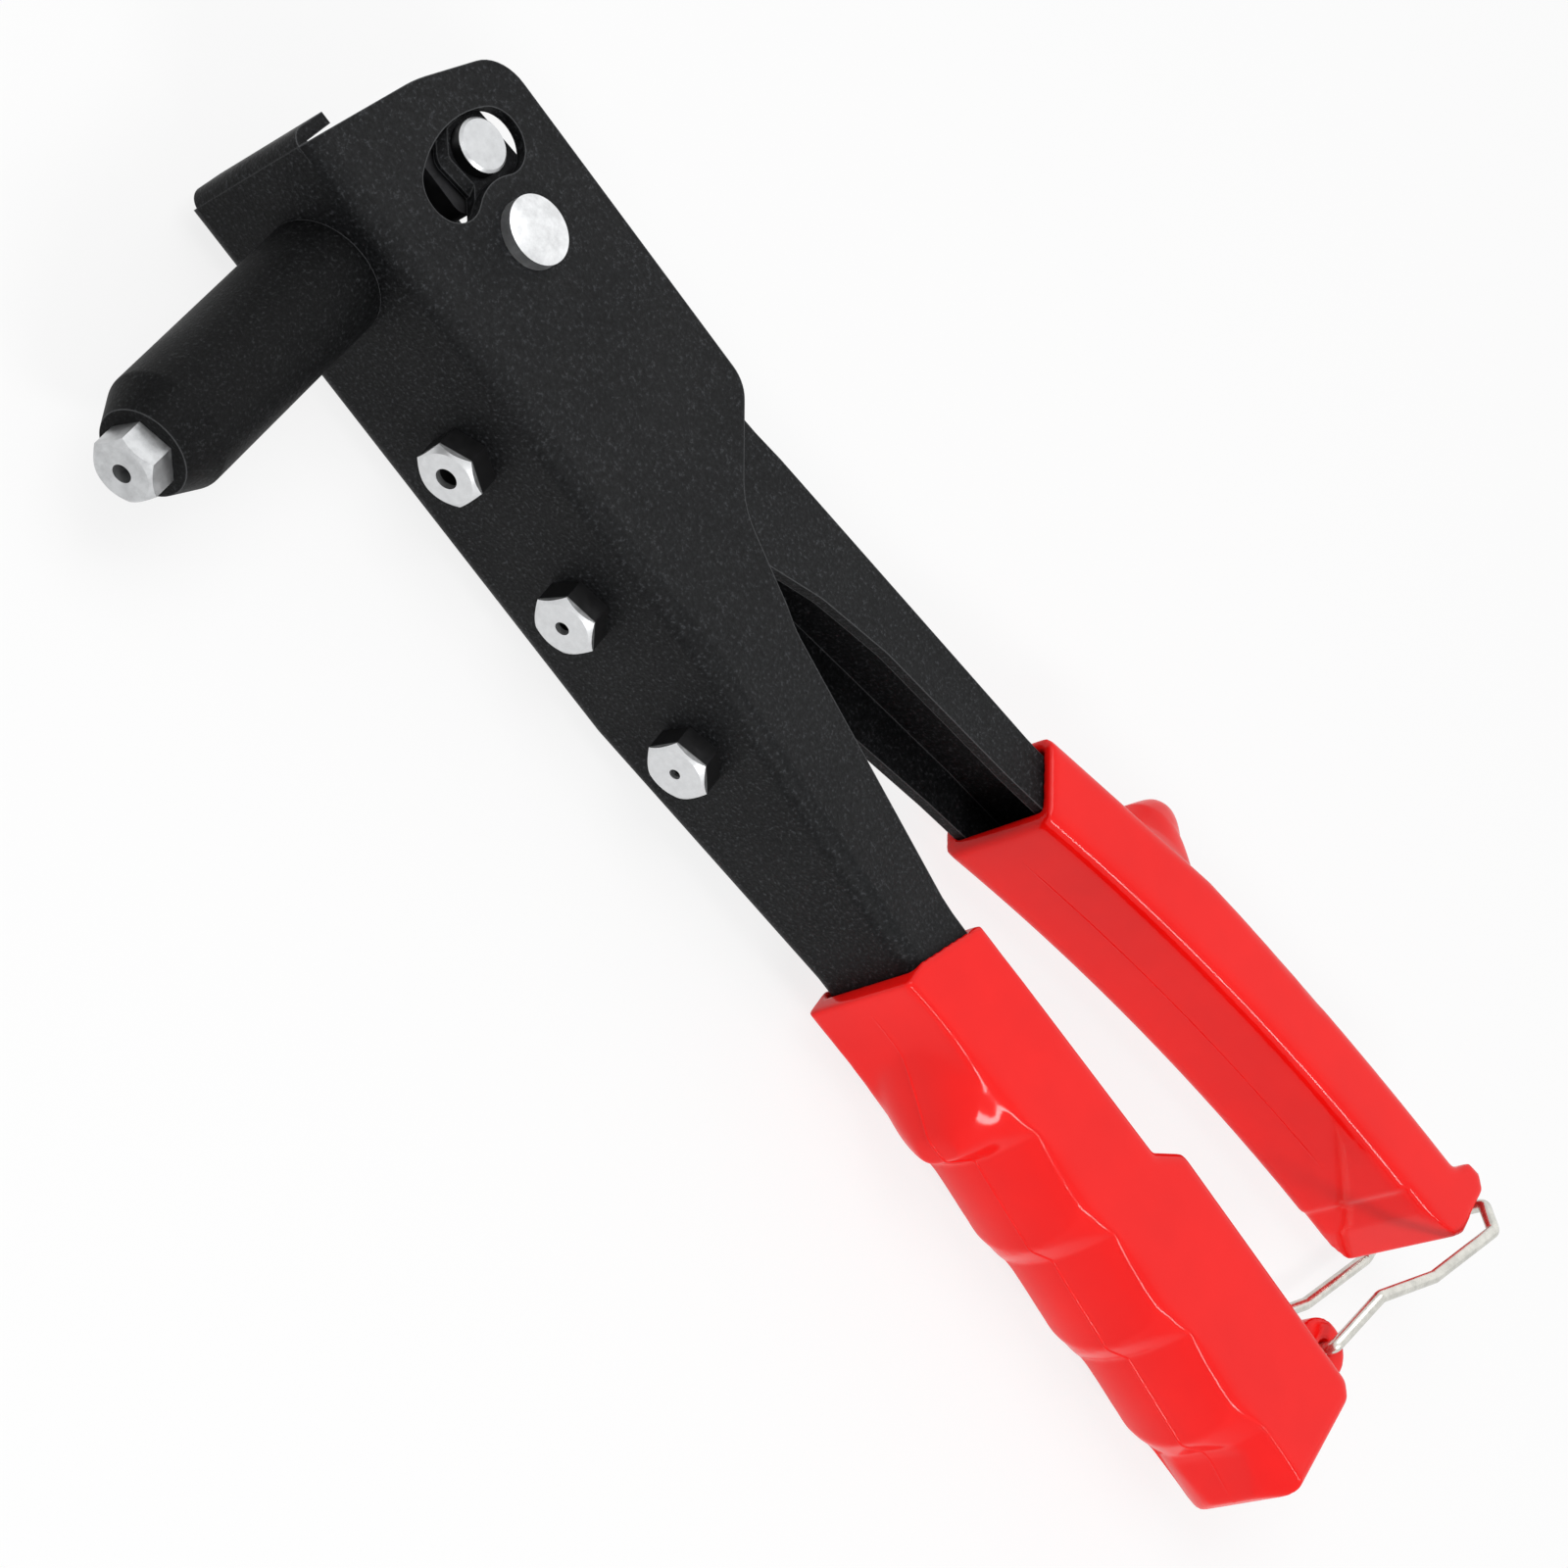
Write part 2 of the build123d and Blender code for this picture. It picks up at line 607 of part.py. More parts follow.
# ---- fixed_grip: moulded sleeve with finger grooves, a step behind and the bail's lug ----
groove_axis_x = fixed_front - groove_depth + groove_radius
groove_side_radius = groove_axis_x - fixed_edge + groove_side_depth
last_crest = groove_first + groove_count * groove_pitch
with BuildPart() as fixed_grip:
    with BuildSketch(Plane.XY.offset(-fixed_grip_half)):
        with BuildLine():
            ThreePointArc(
                (fixed_front_mouth, fixed_mouth),
                (fixed_front_mouth - mouth_hollow, (fixed_mouth + groove_first) / 2),
                (fixed_front, groove_first),
            )
            Polyline(
                (fixed_front, groove_first),
                (fixed_front, last_crest),
                (fixed_front - end_hollow, last_crest + end_hollow_y),
                (fixed_end_front, fixed_grip_end - end_corner),
                (fixed_end_front - end_corner, fixed_grip_end),
                (fixed_rear_end + end_corner, fixed_grip_end),
                (fixed_rear_end, fixed_grip_end - end_corner),
                (fixed_rear_low, fixed_step_y + fixed_step),
                (fixed_rear, fixed_step_y - fixed_step),
                (fixed_rear, fixed_mouth + fixed_mouth_slant),
                (fixed_edge - mouth_square, fixed_mouth),
                (fixed_front_mouth, fixed_mouth),
            )
        make_face()
    extrude(amount=2 * fixed_grip_half)
    side_edges = fixed_grip.edges().filter_by(
        lambda e: abs(e.center().Z) > fixed_grip_half - 1 and e.center().Y > fixed_mouth + 3
        and e.center().X < fixed_edge)
    fillet(side_edges, grip_round)
    # the front is crowned across the grip
    with BuildSketch(Plane.XZ.offset(-fixed_mouth)):
        with BuildLine():
            ThreePointArc((fixed_edge, -fixed_grip_half), (fixed_front, 0), (fixed_edge, fixed_grip_half))
            Polyline((fixed_edge, fixed_grip_half), (-past_depth, fixed_grip_half),
                     (-past_depth, -fixed_grip_half), (fixed_edge, -fixed_grip_half))
        make_face()
    extrude(amount=fixed_mouth - fixed_grip_end, mode=Mode.INTERSECT)
    # finger grooves, crowned like the front and shallower at the sides
    for i in range(groove_count):
        groove_y = groove_first + (i + 0.5) * groove_pitch
        reach = fixed_grip_half + 1
        with BuildSketch(Plane.XZ.offset(-groove_y)):
            with BuildLine():
                ThreePointArc(
                    (groove_axis_x - groove_side_radius, -reach),
                    (groove_axis_x - groove_radius, 0),
                    (groove_axis_x - groove_side_radius, reach),
                )
                Polyline(
                    (groove_axis_x - groove_side_radius, reach), (groove_axis_x, reach),
                    (groove_axis_x, -reach), (groove_axis_x - groove_side_radius, -reach),
                )
            make_face()
        revolve(axis=Axis((groove_axis_x, groove_y, 0), (0, 0, 1)), mode=Mode.SUBTRACT)
    # narrower at the mouth
    with BuildSketch(Plane.YZ.offset(barrel_front)):
        with BuildLine():
            mouth_half = handle_half + seat_gap + grip_wall
            Polyline(
                (fixed_mouth, mouth_half), (groove_first, fixed_grip_half),
                (fixed_grip_end, fixed_grip_half), (fixed_grip_end, -fixed_grip_half),
                (groove_first, -fixed_grip_half), (fixed_mouth, -mouth_half), close=True,
            )
        make_face()
    extrude(amount=-past_depth, mode=Mode.INTERSECT)
    # the finger stop, flaring up out of the front to a narrow tip
    for depth, height, width in stop_sections:
        with BuildSketch(Plane.YZ.offset(stop_tip - depth)):
            with Locations((stop_y - height / 6, 0)):
                RectangleRounded(height, width, full_round * min(height, width))
    loft()
    with Locations((lug_x, lug_y, 0)):
        Cylinder(lug_radius, 2 * lug_half)
    with BuildSketch(Plane.XY.offset(-lug_half)):
        with Locations((lug_x + lug_root / 2, lug_y)):
            Rectangle(lug_root, 2 * lug_radius)
    extrude(amount=2 * lug_half)
    with Locations((lug_x, lug_y, 0)):
        Cylinder(bail_wire / 2 + bail_gap, 2 * lug_half, mode=Mode.SUBTRACT)
    # socket for the frame
    with BuildSketch(Plane.XY.offset(-handle_half - seat_gap)):
        with BuildLine():
            Polyline(
                (web_x + seat_gap, fixed_mouth - 1),
                (handle_rear_mouth - socket_gap, fixed_mouth - 1),
                (handle_rear_end - socket_gap, frame_end + seat_gap),
                (web_x + seat_gap, frame_end + seat_gap),
                close=True,
            )
        make_face()
    extrude(amount=2 * (handle_half + seat_gap), mode=Mode.SUBTRACT)
write(fixed_grip.part, "fixed_grip")

# ---- lever_grip: curved moulded sleeve with a thumb knob and an end lip ----
with BuildPart() as lever_grip:
    with BuildSketch(Plane.XY.offset(-lever_grip_half)) as lever_grip_profile:
        with BuildLine():
            ThreePointArc((grip_mouth_x, grip_mouth_y), (grip_bow_x, grip_bow_y), (grip_foot, lever_end))
            Polyline(
                (grip_foot, lever_end),
                (grip_foot - heel_front, lever_grip_end - heel_rise),
                (grip_foot - heel_back, lever_grip_end),
                (lip_x + lip_bevel, lever_grip_end - lip_rise),
                (lip_x, lever_grip_end - lip_drop),
                (lip_x + lip_undercut, lip_root_y + lip_fall),
                (lip_root_x, lip_root_y),
            )
            ThreePointArc(
                (lip_root_x, lip_root_y), (grip_back_x, grip_back_y), (grip_waist_x, grip_waist_y))
            Polyline((grip_waist_x, grip_waist_y), (grip_heel_x, grip_heel_y), (grip_mouth_x, grip_mouth_y))
        make_face()
    extrude(amount=2 * lever_grip_half)
    long_edges = lever_grip.edges().filter_by(
        lambda e: abs(e.center().Z) > lever_grip_half - 1 and e.length > 30)
    fillet(long_edges, lever_grip_round)
    # the thumb knob on the back, steep towards the mouth
    for depth, height, width in knob_sections:
        with BuildSketch(Plane.YZ.offset(knob_tip + depth)):
            with Locations((knob_y + height / 12, 0)):
                RectangleRounded(height, width, full_round * min(height, width))
    loft()
    # socket for the lever
    with BuildSketch(Plane.XY.offset(-lever_end_half - seat_gap)):
        with BuildLine():
            Polyline(
                (lever_mouth_x + seat_gap, lever_mouth_y),
                (lever_bow_x + seat_gap, lever_bow_y),
                (lever_front_end + seat_gap, lever_end + 2 * seat_gap),
                (lever_rear_end - seat_gap, lever_end + 2 * seat_gap),
                (lever_back(socket_back_y) - seat_gap, socket_back_y),
                (socket_front_x, socket_front_y),
                close=True,
            )
        make_face()
    extrude(amount=2 * (lever_end_half + seat_gap), mode=Mode.SUBTRACT)
write(lever_grip.part, "lever_grip")

# ---- latch_bail: one bent wire, its free ends in the lug ----
bail_route = [
    (0, 0, lug_half - bail_foot),
    (0, 0, lug_half + bail_stand),
    (bail_elbow_x, bail_elbow_y, bail_half),
    (bail_shin_x, bail_shin_y, bail_half),
    (bail_knee_x, bail_knee_y, bail_half),
    (bail_bar_x, bail_bar_y, bail_half - bail_shoulder),
]
with BuildPart() as latch_bail:
    with BuildLine() as bail_path:
        mirrored = [(x, y, -z) for x, y, z in reversed(bail_route)]
        FilletPolyline(*bail_route, *mirrored, radius=bail_bend)
    with BuildSketch(Plane(origin=bail_path.line @ 0, z_dir=bail_path.line % 0)):
        Circle(bail_wire / 2)
    sweep()
latch_bail.part.locate(Location((lug_x, lug_y, 0), (0, 0, -bail_swing)))
write(latch_bail.part, "latch_bail")
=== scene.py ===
"""The hand riveter's finishes, moulded grips and jaw spring, on a pale floor in soft light."""

import json
import math

import bmesh
import bpy
from mathutils import Matrix, Vector
from mathutils.bvhtree import BVHTree


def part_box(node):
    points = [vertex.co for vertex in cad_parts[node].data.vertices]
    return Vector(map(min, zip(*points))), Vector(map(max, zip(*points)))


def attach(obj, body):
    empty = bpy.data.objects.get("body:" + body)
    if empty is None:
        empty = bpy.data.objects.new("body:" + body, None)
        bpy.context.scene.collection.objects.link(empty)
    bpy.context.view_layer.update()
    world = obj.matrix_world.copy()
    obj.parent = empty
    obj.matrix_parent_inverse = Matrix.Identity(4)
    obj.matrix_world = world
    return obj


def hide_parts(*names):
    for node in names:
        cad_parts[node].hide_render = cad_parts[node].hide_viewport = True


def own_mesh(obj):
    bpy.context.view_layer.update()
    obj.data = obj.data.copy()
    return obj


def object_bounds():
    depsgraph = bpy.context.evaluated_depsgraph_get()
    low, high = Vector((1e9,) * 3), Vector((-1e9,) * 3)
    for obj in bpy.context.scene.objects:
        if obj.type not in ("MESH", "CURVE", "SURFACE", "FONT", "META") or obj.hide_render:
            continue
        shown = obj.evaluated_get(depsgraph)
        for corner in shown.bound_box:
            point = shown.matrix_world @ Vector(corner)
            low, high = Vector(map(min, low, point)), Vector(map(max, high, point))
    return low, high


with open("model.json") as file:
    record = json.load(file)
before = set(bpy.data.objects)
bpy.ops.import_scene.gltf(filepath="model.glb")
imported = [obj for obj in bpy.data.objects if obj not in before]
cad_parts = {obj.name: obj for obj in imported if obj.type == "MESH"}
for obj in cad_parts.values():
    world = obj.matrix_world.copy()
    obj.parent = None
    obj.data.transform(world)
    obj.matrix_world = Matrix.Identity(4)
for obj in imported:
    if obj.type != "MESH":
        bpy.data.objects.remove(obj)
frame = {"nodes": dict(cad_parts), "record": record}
cad_box = [list(corner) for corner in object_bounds()]
MM = 0.001
scene = bpy.context.scene


def new_object(name, data):
    """An object in the scene that holds a mesh, a lamp or a camera."""
    item = bpy.data.objects.new(name, data)
    scene.collection.objects.link(item)
    return item


# ---- materials ----

def new_material(name):
    """An empty node material with its Principled shader."""
    material = bpy.data.materials.new(name)
    material.use_nodes = True
    return material, material.node_tree, material.node_tree.nodes["Principled BSDF"]


def add_node(tree, kind, **inputs):
    """One shader node with its inputs set by name."""
    node = tree.nodes.new(kind)
    for key, value in inputs.items():
        node.inputs[key.replace("_", " ")].default_value = value
    return node


def noise(tree, scale, detail=3.0, rough=0.55):
    """Noise fixed to the object, scale in cycles per metre."""
    place = tree.nodes.get("Texture Coordinate") or tree.nodes.new("ShaderNodeTexCoord")
    node = add_node(tree, "ShaderNodeTexNoise", Scale=scale, Detail=detail, Roughness=rough)
    tree.links.new(place.outputs["Object"], node.inputs["Vector"])
    return node


def math_node(tree, operation, *values):
    """The result of one operation on other nodes' values."""
    node = tree.nodes.new("ShaderNodeMath")
    node.operation = operation
    for value, socket in zip(values, node.inputs):
        tree.links.new(value, socket)
    return node.outputs["Value"]


def mixed(tree, share, low, high):
    """A colour between two by a share, each a plain colour or another node's colour."""
    node = tree.nodes.new("ShaderNodeMix")
    node.data_type = "RGBA"
    tree.links.new(share, node.inputs["Factor"])
    for key, colour in (("A", low), ("B", high)):
        if isinstance(colour, tuple):
            node.inputs[key].default_value = (*colour, 1)
        else:
            tree.links.new(colour, node.inputs[key])
    return node.outputs["Result"]


def ramp(tree, source, stops):
    """A colour for each value of a noise, from two or more (value, colour) stops."""
    node = tree.nodes.new("ShaderNodeValToRGB")
    elements = node.color_ramp.elements
    for element, (position, colour) in zip((elements[0], elements[1]), (stops[0], stops[-1])):
        element.position = position
        element.color = (*colour, 1)
    for position, colour in stops[1:-1]:
        elements.new(position).color = (*colour, 1)
    tree.links.new(source.outputs["Fac"], node.inputs["Fac"])
    return node.outputs["Color"]


def spread(tree, source, low, high):
    """The middle of a noise's values, spread over a range."""
    node = add_node(tree, "ShaderNodeMapRange", From_Min=0.3, From_Max=0.7, To_Min=low, To_Max=high)
    tree.links.new(source.outputs["Fac"], node.inputs["Value"])
    return node.outputs["Result"]


def bump(tree, shader, layers):
    """Height layers (noise, depth, strength) stacked on the shader's normal."""
    last = None
    for source, depth, strength in layers:
        node = add_node(tree, "ShaderNodeBump", Strength=strength, Distance=depth)
        tree.links.new(source.outputs["Fac"], node.inputs["Height"])
        if last:
            tree.links.new(last.outputs["Normal"], node.inputs["Normal"])
        last = node
    tree.links.new(last.outputs["Normal"], shader.inputs["Normal"])


# Painted highlight: a paler colour along the black paint's sharp edges, standing in for the light those
# edges catch.
EDGE_HIGHLIGHT_BAND = 0.35 * MM        # how far the painted highlight reaches in from an edge
EDGE_HIGHLIGHT_SHARE = 0.9             # how much of the painted highlight colour shows at the edge itself
EDGE_HIGHLIGHT_PAINT = (0.095, 0.098, 0.102)


def painted_edge_highlight(tree):
    """How much painted highlight the coat gets: 0 on the faces, rising to its full share at a sharp edge.
    """
    rounded = add_node(tree, "ShaderNodeBevel", Radius=EDGE_HIGHLIGHT_BAND)
    rounded.samples = 6
    surface = tree.nodes.new("ShaderNodeNewGeometry")
    match = tree.nodes.new("ShaderNodeVectorMath")
    match.operation = "DOT_PRODUCT"
    tree.links.new(rounded.outputs["Normal"], match.inputs[0])
    tree.links.new(surface.outputs["Normal"], match.inputs[1])
    flat, sharp = 0.997, 0.92        # the cosine between the rounded normal and the true one
    highlight_share = add_node(tree, "ShaderNodeMapRange", From_Min=flat, From_Max=sharp, To_Max=EDGE_HIGHLIGHT_SHARE)
    tree.links.new(match.outputs["Value"], highlight_share.inputs["Value"])
    return highlight_share.outputs["Result"]


def powder_coat(name, dark, light, gloss, grain, depth):
    """Black paint with a fine grain of paler specks, and a painted highlight along its sharp edges."""
    material, tree, shader = new_material(name)
    fine = noise(tree, grain, detail=4.0, rough=0.65)
    broad = noise(tree, 60.0, detail=2.0)
    specks = [4.2 * channel for channel in light]
    paint = ramp(tree, fine, [(0.36, dark), (0.57, light), (0.68, specks)])
    # the black paint with the painted edge highlight mixed in along sharp edges
    tree.links.new(mixed(tree, painted_edge_highlight(tree), paint, EDGE_HIGHLIGHT_PAINT), shader.inputs["Base Color"])
    tree.links.new(spread(tree, broad, 0.46, 0.58), shader.inputs["Roughness"])
    bump(tree, shader, [(fine, depth, 1.0), (broad, 0.4 * MM, 0.15)])
    shader.inputs["Specular IOR Level"].default_value = gloss
    return material


def plated_steel(name, colour, rough, metal=0.92):
    """Plated or oiled steel with faint handling marks, its roughness between two values."""
    material, tree, shader = new_material(name)
    fine = noise(tree, 2600.0)
    patches = noise(tree, 420.0, detail=4.0, rough=0.7)
    dull = [0.78 * channel for channel in colour]
    tree.links.new(ramp(tree, patches, [(0.35, dull), (0.62, colour)]), shader.inputs["Base Color"])
    tree.links.new(spread(tree, patches, *rough), shader.inputs["Roughness"])
    bump(tree, shader, [(fine, 0.03 * MM, 0.35), (patches, 0.08 * MM, 0.25)])
    shader.inputs["Metallic"].default_value = metal
    return material


def plated_end(name, axis, height, both_ends, bright, dark):
    """Bright plate past a height along an axis, at one end or at both, and a dark colour painted below it:
    painted shade on the link pin's side, a painted dark reflection on the spares' sides.
    """
    material, tree, shader = new_material(name)
    place = tree.nodes.new("ShaderNodeTexCoord")
    split = tree.nodes.new("ShaderNodeSeparateXYZ")
    tree.links.new(place.outputs["Object"], split.inputs["Vector"])
    along = split.outputs[axis]
    if both_ends:
        along = math_node(tree, "ABSOLUTE", along)
    blend = 0.1 * MM
    share = add_node(tree, "ShaderNodeMapRange", From_Min=height - blend, From_Max=height + blend)
    tree.links.new(along, share.inputs["Value"])
    marks = noise(tree, 700.0, detail=4.0, rough=0.7)
    dull = [0.85 * channel for channel in bright]
    plate = ramp(tree, marks, [(0.3, dull), (0.7, bright)])
    # the dark colour below the height is painted darkness: shade on the link pin, a dark reflection on the
    # spares
    tree.links.new(mixed(tree, share.outputs["Result"], dark, plate), shader.inputs["Base Color"])
    tree.links.new(spread(tree, marks, 0.30, 0.42), shader.inputs["Roughness"])
    bump(tree, shader, [(marks, 0.06 * MM, 0.3)])
    shader.inputs["Metallic"].default_value = 0.9
    return material


def moulded_vinyl(name, deep, bright):
    """Glossy red vinyl, a little uneven as moulded."""
    material, tree, shader = new_material(name)
    patches = noise(tree, 45.0)
    grain = noise(tree, 2200.0, rough=0.6)
    tree.links.new(ramp(tree, patches, [(0.3, deep), (0.7, bright)]), shader.inputs["Base Color"])
    tree.links.new(spread(tree, patches, 0.40, 0.48), shader.inputs["Roughness"])
    bump(tree, shader, [(grain, 0.03 * MM, 0.2), (patches, 0.3 * MM, 0.10)])
    shader.inputs["Coat Weight"].default_value = 0.45
    shader.inputs["Coat Roughness"].default_value = 0.10
    shader.inputs["Specular IOR Level"].default_value = 0.03
    return material


FINISH = {
    "black_paint": powder_coat(
        "black_powder_coat", dark=(0.0025, 0.0027, 0.003), light=(0.0098, 0.0103, 0.0112),
        gloss=0.12, grain=1700.0, depth=0.14 * MM),
    "black_barrel": powder_coat(
        "black_barrel_coat", dark=(0.002, 0.0021, 0.0023), light=(0.006, 0.0063, 0.0067),
        gloss=0.08, grain=1900.0, depth=0.10 * MM),
    "bright_steel": plated_steel("bright_plated_steel", (0.60, 0.61, 0.62), rough=(0.30, 0.42)),
    "dark_steel": plated_steel(
        "oiled_dark_steel", (0.045, 0.045, 0.048), rough=(0.40, 0.55), metal=0.80),
    "spring_steel": plated_steel("plated_wire", (0.66, 0.65, 0.60), rough=(0.2, 0.3), metal=0.95),
    "red_grip": moulded_vinyl(
        "red_moulded_vinyl", deep=(0.88, 0.004, 0.003), bright=(0.97, 0.007, 0.005)),
}
FINISH["jaw_steel"] = FINISH["dark_steel"]


def dress_cad_nodes():
    """Every carried-over CAD node gets the finish of its material slot."""
    for entry in frame["record"]["subparts"]:
        piece = frame["nodes"][entry["node"]]
        piece.data.materials.clear()
        piece.data.materials.append(FINISH[entry["material_slot"]])


def refinish(node, material):
    """Give a CAD node a finish of its own in place of its slot's."""
    frame["nodes"][node].data.materials[0] = material


def dress_pins():
    """The link pin is bright at its two faces, with painted shade on its side between them where it sits in
    the slot; the pivot pin brighter all over.
    """
    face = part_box("link_pin")[1][2]
    plate_depth = 0.5 * MM
    # the dark colour between the faces is painted shade on the pin's side inside the slot
    refinish("link_pin", plated_end(
        "link_pin_plate", "Z", face - plate_depth, both_ends=True,
        bright=(0.60, 0.61, 0.62), dark=(0.02, 0.02, 0.021)))
    refinish("pivot_pin", plated_steel("pivot_plate", (0.77, 0.78, 0.79), rough=(0.30, 0.42)))


def dress_spares():
    """The spare nosepieces are bright at their front faces and dark further in, a painted reflection of the
    black frame on their sides.
    """
    plate_depth = 1.1 * MM
    for spare in ("nosepiece_spare_1", "nosepiece_spare_2", "nosepiece_spare_3"):
        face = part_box(spare)[1][0]
        # the dark colour further in is a painted reflection of the black frame on the spares' sides
        refinish(spare, plated_end(
            spare + "_plate", "X", face - plate_depth, both_ends=False,
            bright=(0.74, 0.75, 0.76), dark=(0.05, 0.05, 0.052)))


dress_cad_nodes()
dress_pins()
dress_spares()


# ---- moulded grips ----

VOXEL = 0.55 * MM        # the grips' remeshing step
fixed_low, fixed_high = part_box("fixed_grip")
lever_low, lever_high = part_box("lever_grip")


def shade_smooth(mesh):
    """Round shading over every face."""
    for face in mesh.polygons:
        face.use_smooth = True


def moulded_copy(node, name, body, rounds):
    """A grip with its edges melted together as in a mould: the solid remeshed and smoothed."""
    shape = bmesh.new()
    shape.from_mesh(frame["nodes"][node].data)
    bmesh.ops.remove_doubles(shape, verts=shape.verts, dist=0.01 * MM)
    mesh = bpy.data.meshes.new(name)
    shape.to_mesh(mesh)
    shape.free()
    piece = new_object(name, mesh)
    remesh = piece.modifiers.new("remesh", "REMESH")
    remesh.mode = "VOXEL"
    remesh.voxel_size = VOXEL
    smooth = piece.modifiers.new("smooth", "SMOOTH")
    smooth.factor = 0.5
    smooth.iterations = rounds
    bpy.context.view_layer.update()
    ready = piece.evaluated_get(bpy.context.evaluated_depsgraph_get())
    made = bpy.data.meshes.new_from_object(ready)
    piece.modifiers.clear()
    piece.data = made
    shade_smooth(made)
    made.materials.clear()
    made.materials.append(FINISH["red_grip"])
    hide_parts(node)
    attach(piece, body)
    return piece


def vertices_with_normals(piece):
    """Each vertex with its normal as it stands before any is moved."""
    normals = [vertex.normal.copy() for vertex in piece.data.vertices]
    return zip(piece.data.vertices, normals)


def press_in(piece, start, depth, blend):
    """Set the front face back by a small step from a height along the grip to its end."""
    for vertex, normal in vertices_with_normals(piece):
        reach = min(1.0, max(0.0, (vertex.co.y - start) / blend))
        front = max(0.0, normal.x)
        vertex.co.x -= depth * reach * front


def skew_grooves(piece, first, pitch, count, depth, last_depth):
    """Make each finger groove deepest just past the crest nearer the head, rising slowly to the next.

    The run past the last crest has no groove of its own yet and gets a whole one.
    """
    steep = 0.2        # the share of a groove over which it falls to its deepest
    for vertex, normal in vertices_with_normals(piece):
        place = (vertex.co.y - first) / pitch
        if 0 < place < count + 1 and normal.x > 0:
            part = place % 1.0
            skewed = part / steep if part < steep else (1 - part) / (1 - steep)
            even = 4 * part * (1 - part)
            sink = depth * (skewed - even) if place < count else last_depth * skewed
            vertex.co.x -= sink * normal.x
    piece.data.update()


def soften(piece, start, end, front, rounds):
    """Melt the shapes on the grip's front between two heights further into it."""
    fade_in, fade_out = 8 * MM, 2 * MM
    shape = bmesh.new()
    shape.from_mesh(piece.data)
    near = [v for v in shape.verts if start < v.co.y < end and v.co.x > front]
    crisp = [v.co.copy() for v in near]
    for _ in range(rounds):
        bmesh.ops.smooth_vert(
            shape, verts=near, factor=0.5, use_axis_x=True, use_axis_y=True, use_axis_z=True)
    for v, place in zip(near, crisp):
        share = min(1.0, (place.y - start) / fade_in, (end - place.y) / fade_out)
        v.co = place.lerp(v.co, share)
    shape.to_mesh(piece.data)
    shape.free()


def move_knob(piece, low, high, back, blend, shift, lower):
    """Slide the thumb knob, between two heights, along the grip and take a little off its top."""
    for vertex in piece.data.vertices:
        rise = back - vertex.co.x
        if rise > 0 and low < vertex.co.y < high:
            share = min(1.0, rise / blend)
            vertex.co.y += shift * share
            vertex.co.x += lower * share * share


def front_line(piece, start, end, steps):
    """The middle of the grip's front as evenly spaced points, evened out along its length."""
    tree = BVHTree.FromObject(piece, bpy.context.evaluated_depsgraph_get())
    ahead = 50 * MM        # the rays start here, clear of the grip
    heights = [start + (end - start) * step / steps for step in range(steps + 1)]
    found = [tree.ray_cast(Vector((ahead, y, 0)), Vector((-1, 0, 0)))[0].x for y in heights]
    line = []
    for step, y in enumerate(heights):
        near = found[max(0, step - 1):step + 2]
        line.append(Vector((sum(near) / len(near), y, 0)))
    return line


def seam(piece, name, body, start, end, width, height):
    """The mould's parting line: a fine rib on the middle of the grip's front."""
    steps = 300
    fading = steps / 8        # steps over which the rib rises at each end
    flank, shoulder = 0.35 * width, 0.8 * height
    section = ((-width, -height), (-flank, shoulder), (0, height), (flank, shoulder), (width, -height))
    line = front_line(piece, start, end, steps)
    shape = bmesh.new()
    rows = []
    for step, point in enumerate(line):
        run = line[min(step + 1, steps)] - line[max(step - 1, 0)]
        normal = Vector((run.y, -run.x, 0)).normalized()
        fade = min(1.0, min(step, steps - step) / fading)
        places = [point + normal * rise * fade + Vector((0, 0, z)) for z, rise in section]
        rows.append([shape.verts.new(place) for place in places])
    for a, b in zip(rows, rows[1:]):
        for k in range(len(section) - 1):
            shape.faces.new((a[k], b[k], b[k + 1], a[k + 1]))
    bmesh.ops.recalc_face_normals(shape, faces=shape.faces)
    mesh = bpy.data.meshes.new(name)
    shape.to_mesh(mesh)
    shape.free()
    shade_smooth(mesh)
    mesh.materials.append(FINISH["red_grip"])
    rib = new_object(name, mesh)
    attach(rib, body)


def mould_fixed_grip():
    """The fixed handle's grip, its hand stop melted in and its finger grooves skewed."""
    first_crest = 162.0 * MM
    groove_pitch = 20.9 * MM
    grip = moulded_copy("fixed_grip", "fixed_grip_moulded", "frame", rounds=7)
    soften(grip, start=first_crest - 20 * MM, end=first_crest - 1 * MM,
           front=fixed_high[0] - 9 * MM, rounds=14)
    skew_grooves(grip, first_crest, groove_pitch, count=3, depth=2.4 * MM, last_depth=1.8 * MM)
    return grip


def mould_lever_grip():
    """The lever's grip, its end set back and its thumb knob moved."""
    grip = moulded_copy("lever_grip", "lever_grip_moulded", "lever", rounds=9)
    press_in(grip, start=lever_high[1] - 15 * MM, depth=0.7 * MM, blend=1.2 * MM)
    move_knob(grip, low=140 * MM, high=180 * MM, back=-113.5 * MM, blend=6 * MM,
              shift=-2.6 * MM, lower=1.2 * MM)
    return grip


fixed_grip = mould_fixed_grip()
lever_grip = mould_lever_grip()
seam(fixed_grip, "fixed_grip_seam", "frame", start=fixed_low[1] + 3 * MM, end=fixed_high[1] - 2 * MM,
     width=0.38 * MM, height=0.20 * MM)
seam(lever_grip, "lever_grip_seam", "lever", start=lever_low[1] + 14 * MM, end=lever_high[1] - 22 * MM,
     width=0.30 * MM, height=0.11 * MM)


# ---- jaw spring ----

